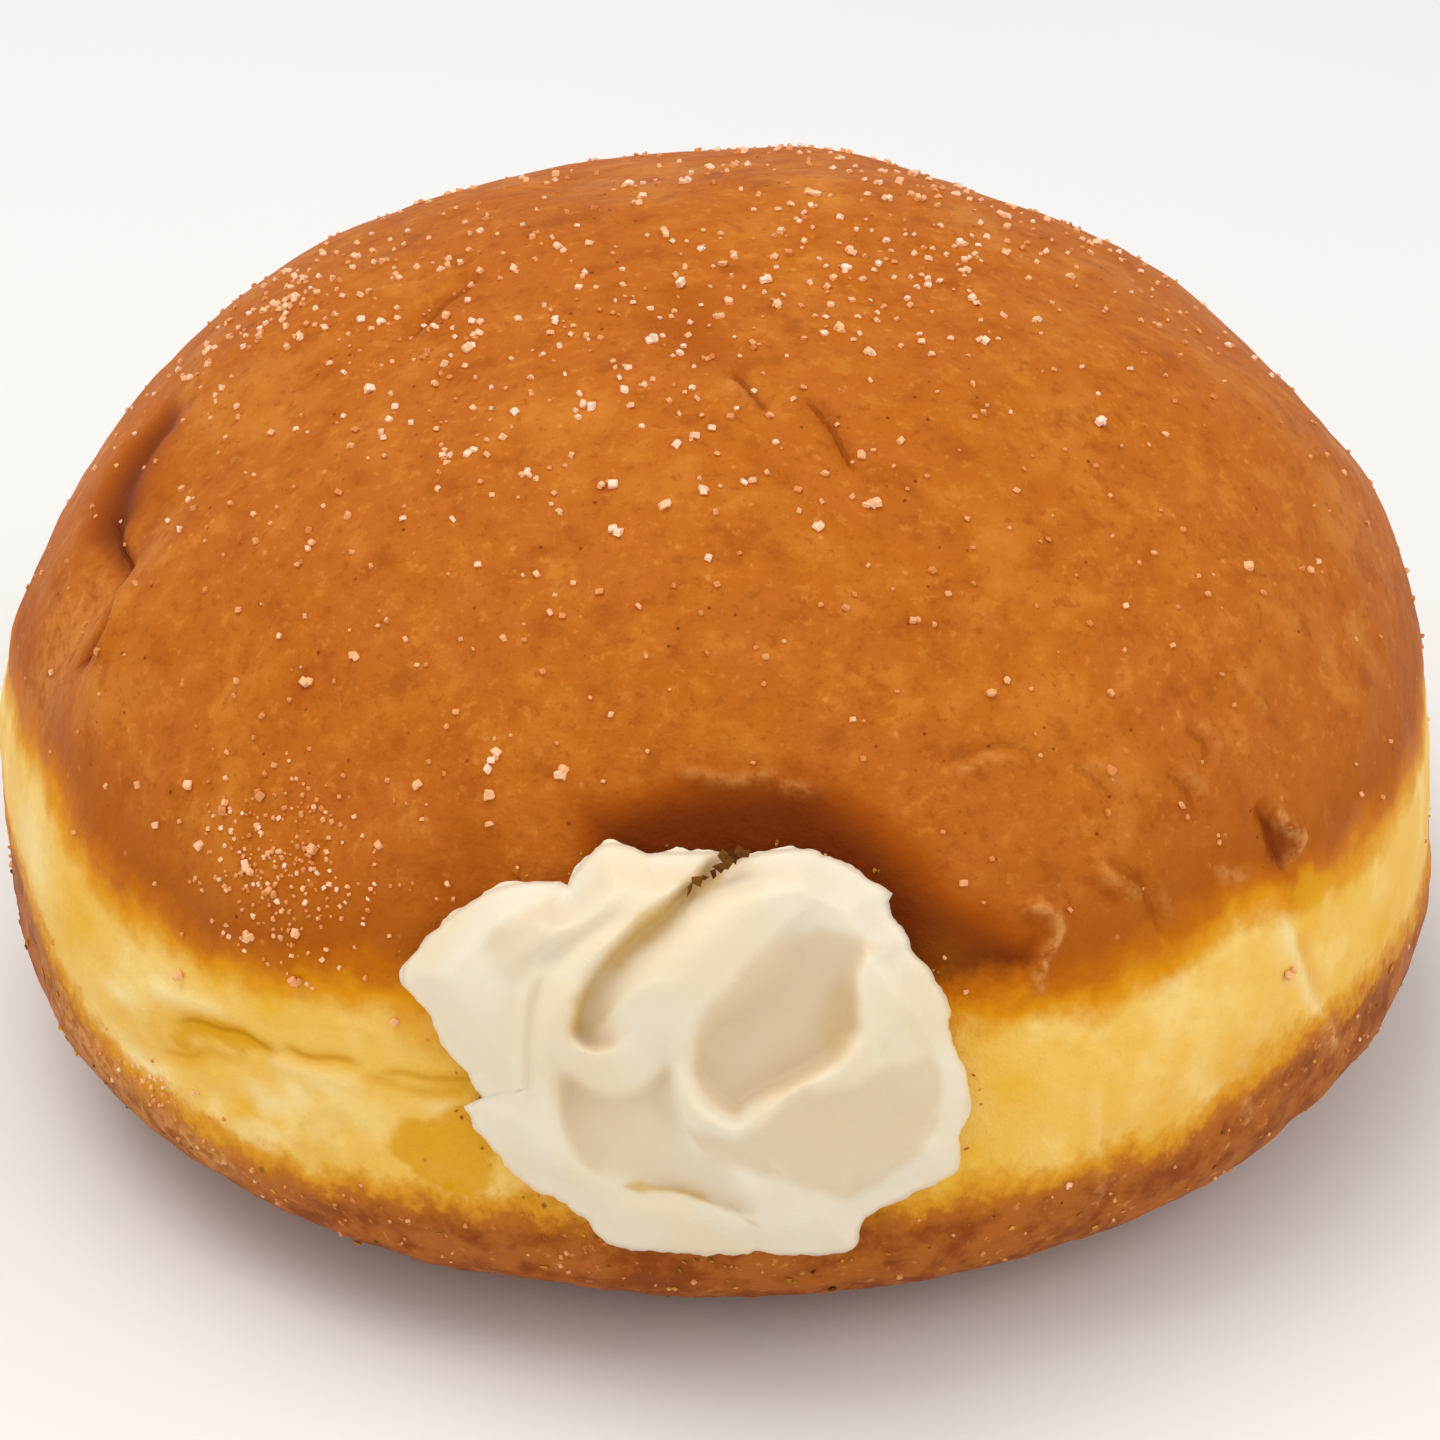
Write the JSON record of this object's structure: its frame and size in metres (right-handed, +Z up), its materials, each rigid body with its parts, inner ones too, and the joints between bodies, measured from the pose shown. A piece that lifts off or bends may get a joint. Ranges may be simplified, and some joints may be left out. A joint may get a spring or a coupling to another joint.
{
  "type": "cream-filled doughnut",
  "caption": "Round filled doughnut with a domed caramel-brown crust, a pale band round its side, scattered sugar and folded cream that swells out of its front.",
  "frame": {"origin": "centre of the flat spot under the bun, on the surface that it stands on", "axes": "+Z up, -Y towards the front, where the cream comes out, +X to the right as seen from the front"},
  "size_m": [0.0884, 0.0926, 0.0518],
  "materials": {
    "crust": "fried dough: caramel-brown crust above and below a pale yellow band, softly matt",
    "cream": "ivory cream, soft sheen",
    "sugar": "clear white crystals of sugar"
  },
  "bodies": {
    "root": {"bun": "crust", "cream": "cream"}
  },
  "joints": []
}
